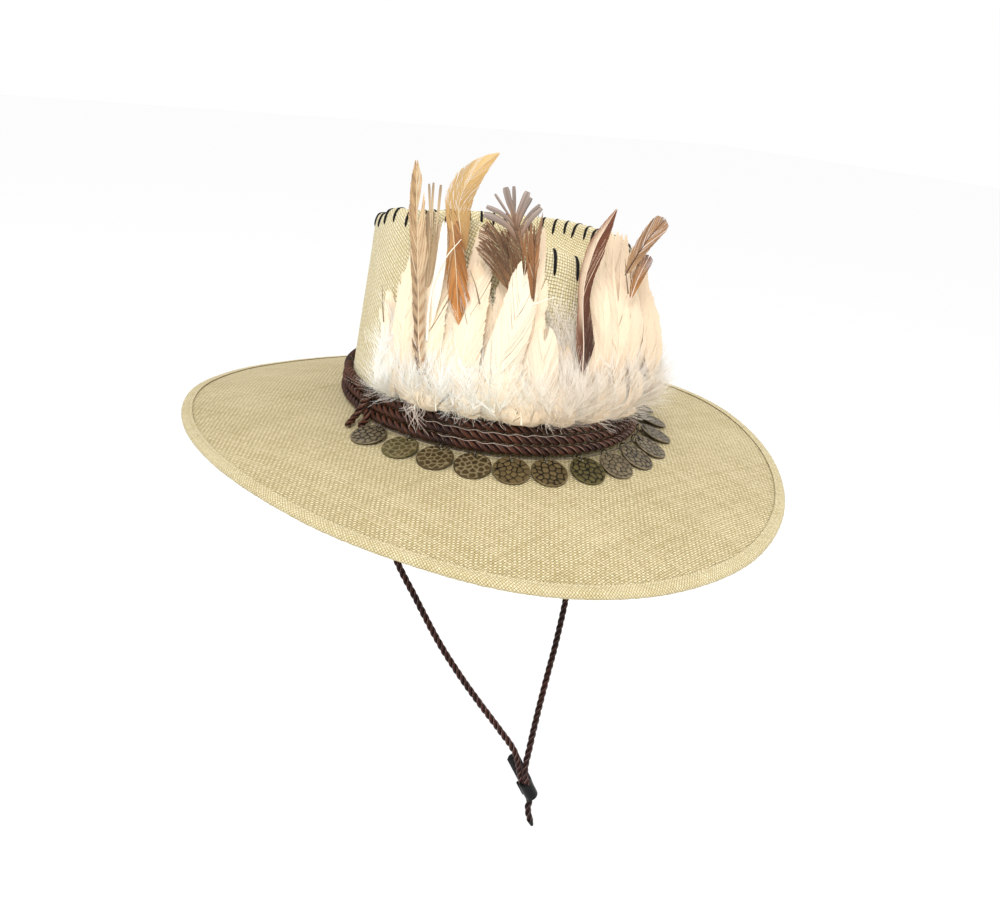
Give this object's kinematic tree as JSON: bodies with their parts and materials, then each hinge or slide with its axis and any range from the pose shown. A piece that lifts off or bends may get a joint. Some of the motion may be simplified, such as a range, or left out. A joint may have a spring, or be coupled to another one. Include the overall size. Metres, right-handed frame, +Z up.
{
  "type": "western hat with feather plume and chin strap",
  "caption": "Wide-brimmed western hat of straw cloth with a dished crown, twisted cord band, hanging coins, a feather plume and a chin strap with a cord lock.",
  "frame": {"origin": "centre of the head opening, level with the foot of the crown", "axes": "+Z up along the crown, -Y to the front of the hat, +X to the wearer's left"},
  "size_m": [0.386, 0.416, 0.4426],
  "materials": {
    "straw_cloth": "open plain weave, stiffened, matte",
    "binding_tape": "bias-cut weave folded over the edge, matte",
    "band_cord": "twisted satin cord, soft sheen",
    "thread": "sewing thread",
    "stitch_black": "thick waxed thread",
    "coin_metal": "antiqued, pressed crackle relief",
    "ring_metal": "darkened",
    "feather_cream": "hackles over down, soft",
    "feather_brown": "hackles, silky",
    "chin_cord": "twisted satin cord, soft sheen",
    "black_plastic": "moulded, satin"
  },
  "bodies": {
    "root": {"crown": "straw_cloth", "brim": "straw_cloth", "brim_binding": "binding_tape", "band_cord_lower": "band_cord", "band_cord_middle": "band_cord", "band_cord_upper": "band_cord", "band_knot": "band_cord", "band_tail_long": "band_cord", "band_tail_short": "band_cord", "coin_thread": "thread", "coin_01": "coin_metal", "coin_ring_01": "ring_metal", "coin_02": "coin_metal", "coin_ring_02": "ring_metal", "coin_03": "coin_metal", "coin_ring_03": "ring_metal", "coin_04": "coin_metal", "coin_ring_04": "ring_metal", "coin_05": "coin_metal", "coin_ring_05": "ring_metal", "coin_06": "coin_metal", "coin_ring_06": "ring_metal", "coin_07": "coin_metal", "coin_ring_07": "ring_metal", "coin_08": "coin_metal", "coin_ring_08": "ring_metal", "coin_09": "coin_metal", "coin_ring_09": "ring_metal", "coin_10": "coin_metal", "coin_ring_10": "ring_metal", "coin_11": "coin_metal", "coin_ring_11": "ring_metal", "coin_12": "coin_metal", "coin_ring_12": "ring_metal", "coin_13": "coin_metal", "coin_ring_13": "ring_metal", "feather_plume": "feather_cream", "chin_cord_left": "chin_cord", "chin_cord_right": "chin_cord", "chin_cord_tail": "chin_cord", "cord_lock": "black_plastic"}
  },
  "joints": []
}
